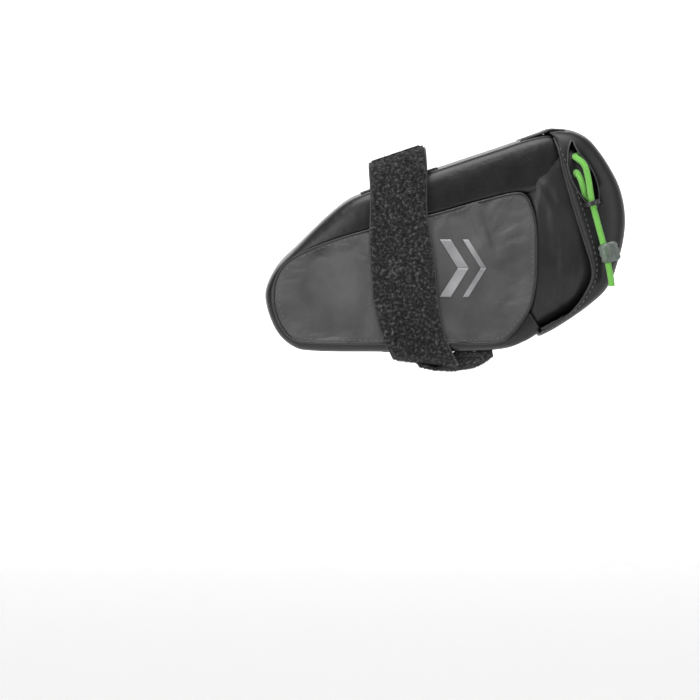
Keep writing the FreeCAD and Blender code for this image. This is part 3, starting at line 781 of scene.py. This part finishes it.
# The flap's trim: a thin moulded rim stands up round the slot, a round bead finishes the
# cap's edges, and one row of stitches follows the bead on the left side.
RIM_RADIUS = 0.36
EDGE_RADIUS = 0.6
HEM_SHARE = 0.16
HEM_STITCH_STEP = 2.4
trim = Finish("moulded_trim", (0.09, 0.09, 0.095), 0.42)
trim.tones(trim.grain(160.0), [(0.3, (0.018, 0.018, 0.019)), (0.8, (0.05, 0.05, 0.052))])
trim.relief(trim.grain(1500.0), 0.05)
rim_path = [on_surface(uncut_tree, x, z, -1, 0.15) for x, z in leaf_line]
rim = line_round("slot_lip", [p for p in rim_path if p], RIM_RADIUS, trim.material)
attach(rim, "flap")
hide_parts("slot_rim")

edge_bead = Finish("edge_bead", (0.012, 0.012, 0.013), 0.35)
edge_bead.dull(edge_bead.grain(400.0), 0.28, 0.45)
edge_bead.relief(edge_bead.grain(1300.0), 0.08)
beads = []
for side, name in ((-1, "left"), (1, "right")):
    path = [(row[2], side * (row[4] - 0.5), row[3]) for row in flap_rows]
    beads.append(
        line_round(f"flap_edge_{name}", path, EDGE_RADIUS, edge_bead.material, closed=False)
    )
for bead in beads:
    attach(bead, "flap")
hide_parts("flap_binding")

flap_sewn = []
hem = [
    Vector((ex + (ox - ex) * HEM_SHARE, 0, ez + (oz - ez) * HEM_SHARE))
    for ox, oz, ex, ez, _, _ in flap_rows[8:]
]
for spot, way in evenly(hem, HEM_STITCH_STEP, closed=False):
    seat = on_surface(uncut_tree, spot.x, spot.z, -1, 0.05)
    if seat is not None:
        flap_sewn.append((seat, way))
flap_row = stitches("flap_stitches", flap_sewn, thread.material)
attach(flap_row, "flap")


# The fold: a strip of the same cloth sewn to the bag's top and to the flap. It is built
# flat, as it lies while the flap is shut.
FOLD_ROWS = 19
FOLD_COLUMNS = 13
FOLD_START = 50.5
FOLD_LENGTH = 18.5
FOLD_HALF_WIDTH = 21.5
FOLD_WALL = 0.7
fold_points = []
for step in range(FOLD_ROWS):
    t = step / (FOLD_ROWS - 1)
    x = FOLD_START + FOLD_LENGTH * t
    lift = 0.6 + 0.35 * math.sin(math.pi * t)
    for column in range(FOLD_COLUMNS):
        across = -1 + 2 * column / (FOLD_COLUMNS - 1)
        z = outline_top(min(x, 61.5)) + lift - 0.5 * across ** 4
        z += 0.9 * max(min((x - 60.5) / 3.0, 1.0), 0.0)
        fold_points.append((x, FOLD_HALF_WIDTH * across, z))
fold = make_piece(
    "flap_hinge_fold", fold_points, grid_faces(FOLD_ROWS, FOLD_COLUMNS), stiff.material
)
thicken(fold, FOLD_WALL, 0.0)
solid_fold = bpy.data.meshes.new_from_object(
    fold.evaluated_get(bpy.context.evaluated_depsgraph_get())
)
fold.modifiers.clear()
fold.data = solid_fold
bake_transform(fold)


# The flap's backing: a thin board that keeps the cap's rear in shape, covered with plain
# dark cloth and glued in behind the cap.
BOARD_WALL = 0.8
board_rows = [
    (x - 2.6, z * 0.98 - 0.5, x - 3.2, z * 0.98 - 0.5, narrow + 2.0, narrow)
    for x, z, _, _, _, narrow in smooth_line(FLAP_PAIRS[5:11], 5)
]
board = folded_band("flap_backing", board_rows, smooth_cloth.material, crown=1.6)
thicken(board, BOARD_WALL)
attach(board, "flap")
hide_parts("flap_board")


# The bridge: a narrow loop of dark trim fixed to the flap at the slot's lower end. The
# cord passes under it, so it can't pull sideways out of the slot.
def bent_strip(name, path_mm, along_mm, width, thickness, material):
    """A flat strip that follows a path; along_mm is the direction of its width."""
    way = Vector(along_mm).normalized() * (width / 2)
    points = []
    for place in path_mm:
        points += [Vector(place) - way, Vector(place), Vector(place) + way]
    made = make_piece(name, points, grid_faces(len(path_mm), 3), material)
    thicken(made, thickness, 0.0)
    edges = made.modifiers.new("edges", "BEVEL")
    edges.width = 0.2 * MM
    edges.segments = 2
    return made


BRIDGE_STEPS = 16
BRIDGE_HALF_SPAN = 3.3
BRIDGE_WIDTH = 2.0
BRIDGE_THICKNESS = 0.8
run_way = Vector(CORD_ROUTE[6]) - Vector(CORD_ROUTE[5])
across_way = Vector((-run_way.z, 0, run_way.x)).normalized()
bridge_middle = Vector(CORD_ROUTE[5]) / MM + Vector((0.3, 0, -1.0))
bridge_path = []
for step in range(BRIDGE_STEPS + 1):
    angle = math.pi * step / BRIDGE_STEPS
    sideways = across_way * (-math.cos(angle) * BRIDGE_HALF_SPAN)
    out = Vector((0, 1, 0)) * (3.1 - 5.3 * math.sin(angle) ** 0.7)
    bridge_path.append(bridge_middle + sideways + out)
bridge = bent_strip(
    "cord_bridge", bridge_path, run_way, BRIDGE_WIDTH, BRIDGE_THICKNESS, edge_bead.material
)
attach(bridge, "flap")
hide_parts("slot_bridge")


# The sleeve: two short barrels side by side in clear grey plastic. The cord runs through
# the first, and fingers hold the second to pull the cord tight.
clear = Finish("clear_grey_plastic", (0.42, 0.45, 0.44), 0.28)
clear.set("Transmission Weight", 0.7)
clear.set("IOR", 1.46)
clear.tones(clear.grain(300.0), [(0.3, (0.16, 0.19, 0.17)), (0.8, (0.34, 0.38, 0.35))])
clear.relief(clear.grain(900.0), 0.05)
grip_low, grip_high = (Vector(c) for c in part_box("cord_sleeve"))
run_dir = run_way.normalized()
grip_drop = (grip_low.z + grip_high.z) / 2 - CORD_ROUTE[5][2]
grip_centre = Vector(CORD_ROUTE[5]) + run_dir * (grip_drop / run_dir.z)
grip_points = []
GRIP_ROWS = 13
GRIP_TURN = 40
GRIP_WAIST = 2.2
GRIP_HALF_LENGTH = 4.1
for row in range(GRIP_ROWS):
    t = -1 + 2 * row / (GRIP_ROWS - 1)
    squeeze = (1 - abs(t) ** 6 * 0.28) * (0.96 + 0.05 * math.cos(t * 9.0))
    for turn in range(GRIP_TURN):
        angle = 2 * math.pi * turn / GRIP_TURN
        ca, sa = math.cos(angle), math.sin(angle)
        sideways = 1.6 + (4.1 if ca > 0 else 4.3) * ca * squeeze
        waist = 1 - 0.30 * math.exp(-((sideways - GRIP_WAIST) / 0.9) ** 2)
        waist -= 0.22 if sideways > GRIP_WAIST else 0.0
        out = 2.55 * math.copysign(abs(sa) ** 0.8, sa) * squeeze * waist
        spot = grip_centre / MM + across_way * sideways + Vector((0, out, 0))
        spot += run_dir * (t * GRIP_HALF_LENGTH)
        grip_points.append(spot)
grip_faces = grid_faces(GRIP_ROWS, GRIP_TURN, ring=True)
grip_faces += [tuple(range(GRIP_TURN))[::-1],
               tuple(range((GRIP_ROWS - 1) * GRIP_TURN, GRIP_ROWS * GRIP_TURN))]
grip = make_piece("cord_grip_sleeve", grip_points, grip_faces, clear.material)
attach(grip, "cord_grip")
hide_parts("cord_sleeve")


# The strap: 25 mm loop tape that goes over the rails and round the bag. Its face is a
# dense fuzz of fine loops between two smooth woven edges.
STRAP_SIDE = [
    # height, front edge, rear edge on the bag's left side
    (6.0, -12.2, 10.2), (-3.0, -11.6, 10.8), (-12.0, -11.8, 10.6), (-20.0, -12.0, 10.8),
    (-30.0, -12.2, 12.6), (-41.0, -11.8, 14.2), (-53.0, -10.8, 15.2), (-61.0, -8.9, 16.4),
    (-68.0, -6.9, 18.0), (-74.0, -4.6, 21.5), (-79.0, -1.8, 25.0),
]
STRAP_LOOP = [
    # across, height on the strap's middle line, how far it leans with the sloping top
    (0.0, 5.6, 1.0), (-12.0, 5.6, 1.0), (-20.0, 5.4, 1.0), (-25.0, 3.6, 1.0),
    (-28.0, -0.6, 0.9), (-29.8, -7.0, 0.75), (-31.0, -15.0, 0.5), (-31.9, -25.0, 0.25),
    (-32.6, -38.0, 0.0), (-32.3, -52.0, 0.0), (-31.4, -63.0, 0.0), (-30.0, -71.0, 0.0),
    (-26.5, -76.3, 0.0), (-20.0, -77.9, 0.0), (-8.0, -77.8, 0.0),
]


def strap_edges(height):
    """Where the strap's front and rear edges lie at a height."""
    for (z1, a1, b1), (z2, a2, b2) in zip(STRAP_SIDE, STRAP_SIDE[1:]):
        if z2 <= height <= z1:
            t = (z1 - height) / (z1 - z2)
            return a1 + (a2 - a1) * t, b1 + (b2 - b1) * t
    return STRAP_SIDE[0][1:] if height > 0 else STRAP_SIDE[-1][1:]


loop_left = smooth_line(STRAP_LOOP, 9)
STRAP_COLUMNS = 13
STRAP_THICKNESS = 1.9
SELVEDGE_RADIUS = 0.7
STRAP_LOOP_COUNT = 5200
strap_points = []
loop_closed = loop_left[::-1] + [(-y, z, lean) for y, z, lean in loop_left[1:]]
for y, z, lean in loop_closed:
    front, rear = strap_edges(z)
    for column in range(STRAP_COLUMNS):
        t = column / (STRAP_COLUMNS - 1)
        x = front + (rear - front) * t
        curl = 0.35 * (2 * t - 1) ** 4
        rise = lean * 0.333 * (x - (front + rear) / 2)
        slope = 0.13 * (x - 5.0) * min(max((-68.0 - z) / 9.0, 0.0), 1.0)
        strap_points.append((x, y - math.copysign(curl, y), z + rise - slope))
pile = Finish("loop_pile", (0.012, 0.012, 0.012), 0.9)
tuft_relief_and_shade = pile.grain(820.0, 5.0, 0.7)
# The pile's tone follows the same noise as its relief: near black in the hollows between the loops as
# painted shade, grey on the highest loop tips as painted highlight.
pile.tones(
    tuft_relief_and_shade, [(0.40, (0.002, 0.002, 0.002)), (0.53, (0.016, 0.016, 0.016)), (0.68, (0.10, 0.10, 0.102))]
)
pile.relief(tuft_relief_and_shade, 0.9)
pile.relief(pile.grain(420.0, 3.0), 0.8, 0.6)
pile.set("Sheen Weight", 0.05)
pile.set("Sheen Roughness", 0.6)
pile.set("Specular IOR Level", 0.2)
strap = make_piece(
    "loop_strap", strap_points, grid_faces(len(loop_closed), STRAP_COLUMNS), pile.material
)
thicken(strap, STRAP_THICKNESS, 1.0)
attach(strap, "root")
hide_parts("strap")

woven = Finish("woven_edge", (0.03, 0.03, 0.031), 0.6)
rib_relief_and_shade = woven.threads(420.0, "Z")
# The edges' tone follows their ribs: darker in the grooves as painted shade, lighter on the ribs as
# painted highlight.
woven.tones(rib_relief_and_shade, [(0.2, (0.014, 0.014, 0.014)), (0.8, (0.05, 0.05, 0.051))])
woven.relief(rib_relief_and_shade, 0.2)
for place, name in ((0, "front"), (STRAP_COLUMNS - 1, "rear")):
    path = []
    for row in range(len(loop_closed)):
        x, y, z = strap_points[row * STRAP_COLUMNS + place]
        out = Vector((0, y, z + 36.0)).normalized() * 0.9
        path.append((x, y + out.y * 0.8, z + out.z * 0.4))
    selvedge = line_round(
        f"strap_edge_{name}", path, SELVEDGE_RADIUS, woven.material, closed=False
    )
    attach(selvedge, "root")


YARN_RADIUS = 0.07
LOOP_HEIGHT = 0.75


def fuzz(name, places_on_tape, count, seed, material):
    """Fine loops of yarn that stand on a tape; places_on_tape gives (point, normal)."""
    chance = random.Random(seed)
    points, faces = [], []
    for place, normal in places_on_tape(chance, count):
        side_way = Vector((chance.uniform(-1, 1), chance.uniform(-1, 1), chance.uniform(-1, 1)))
        side_way = (side_way - normal * side_way.dot(normal)).normalized()
        width = chance.uniform(0.25, 0.6)
        height = chance.uniform(0.45, 1.0) * LOOP_HEIGHT
        base = len(points)
        for step in range(5):
            angle = math.pi * step / 4
            spot = place + side_way * (-math.cos(angle) * width)
            spot += normal * (math.sin(angle) * height - 0.15)
            third = side_way.cross(normal)
            for turn in range(3):
                swing = 2 * math.pi * turn / 3
                points.append(spot + (third * math.cos(swing) + normal * math.sin(swing)) * YARN_RADIUS)
        faces += [tuple(v + base for v in face) for face in grid_faces(5, 3, ring=True)]
    return make_piece(name, points, faces, material)


def strap_spots(chance, count):
    """Places on the strap's outer face."""
    rows = len(loop_closed) - 1
    for _ in range(count):
        row = chance.uniform(0, rows - 0.001)
        column = chance.uniform(0.7, STRAP_COLUMNS - 1.7)
        r, c = int(row), int(column)
        a, b = (Vector(strap_points[r * STRAP_COLUMNS + c + k]) for k in (0, 1))
        d, e = (Vector(strap_points[(r + 1) * STRAP_COLUMNS + c + k]) for k in (0, 1))
        u, v = column - c, row - r
        place = a.lerp(b, u).lerp(d.lerp(e, u), v)
        normal = (b - a).cross(d - a).normalized()
        away = Vector((0, place.y, place.z + 36.0))
        if normal.dot(away) < 0:
            normal = -normal
        yield place + normal * STRAP_THICKNESS, normal


pile_fuzz = fuzz("strap_fuzz", strap_spots, STRAP_LOOP_COUNT, 5, pile.material)
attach(pile_fuzz, "root")


# The strap's free end: the same tape laid back under the belly, with hook tape on its
# upper face that grips the loops. It peels down about its right-hand end.
TAIL_PROFILE = [
    # along the bag, height in the middle, height where its near end curls up
    (8.4, -79.9, -79.9), (12.0, -80.8, -80.8), (16.0, -81.7, -81.5),
    (19.5, -82.1, -78.6), (23.0, -82.3, -75.2),
    (31.0, -81.0, -75.0), (35.0, -79.0, -74.7), (38.8, -76.2, -74.4),
]
tail_line = smooth_line(TAIL_PROFILE, 4)
TAIL_ROWS = 24
TAIL_THICKNESS = 1.6
TAIL_LOOP_COUNT = 900
TAIL_NEAR_END = -24.5
TAIL_LENGTH = 41.5
tail_points = []
for row in range(TAIL_ROWS + 1):
    y = TAIL_NEAR_END + TAIL_LENGTH * row / TAIL_ROWS
    curl = math.exp(-((max(y + 23.0, 0.0) / 3.0) ** 2))
    for x, z, near_z in tail_line:
        tail_points.append((x - 0.02 * (y - TAIL_NEAR_END), y, z + (near_z - z) * curl))
tail = make_piece(
    "strap_free_end", tail_points, grid_faces(TAIL_ROWS + 1, len(tail_line)), pile.material
)
thicken(tail, TAIL_THICKNESS, 1.0)
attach(tail, "strap_end")
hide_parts("strap_tail")


def tail_spots(chance, count):
    """Places on the free end's lower face."""
    columns = len(tail_line)
    for _ in range(count):
        row, column = chance.uniform(0.3, TAIL_ROWS - 0.3), chance.uniform(0.5, columns - 1.5)
        r, c = int(row), int(column)
        a = Vector(tail_points[r * columns + c])
        b = Vector(tail_points[r * columns + c + 1])
        d = Vector(tail_points[(r + 1) * columns + c])
        place = a + (b - a) * (column - c) + (d - a) * (row - r)
        normal = (b - a).cross(d - a).normalized()
        normal = -normal if normal.z > 0 else normal
        yield place + normal * TAIL_THICKNESS, normal


tail_fuzz = fuzz("free_end_fuzz", tail_spots, TAIL_LOOP_COUNT, 9, pile.material)
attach(tail_fuzz, "strap_end")


# The pieces whose plain shape is already right: the rubber pad under the rails, the hook
# tape, the belly patch, the hinge fold's root, the mouth's hoop and the stiffening boards.
rubber = Finish("grip_rubber", (0.02, 0.02, 0.02), 0.7)
rubber.relief(rubber.crossed(rubber.threads(160.0, "X"), rubber.threads(160.0, "Y")), 0.4)
rubber.dull(rubber.grain(300.0), 0.6, 0.8)
hook = Finish("hook_tape", (0.015, 0.015, 0.015), 0.5)
hook.relief(hook.crossed(hook.threads(330.0, "X"), hook.threads(330.0, "Y")), 0.6)
hook.dull(hook.grain(500.0), 0.4, 0.6)
stiff_board = Finish("stiff_board", (0.04, 0.04, 0.042), 0.5)
stiff_board.relief(stiff_board.grain(800.0), 0.08)
stiff_board.dull(stiff_board.grain(200.0), 0.4, 0.6)
KEPT = {
    "rail_pad": rubber, "strap_anchor_patch": coated, "strap_hook_patch": hook,
    "flap_fold": stiff, "mouth_hoop": stiff_board, "base_stiffener": stiff_board,
    "top_stiffener": stiff_board,
}
for name, finish in KEPT.items():
    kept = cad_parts[name]
    kept.data.materials.clear()
    kept.data.materials.append(finish.material)
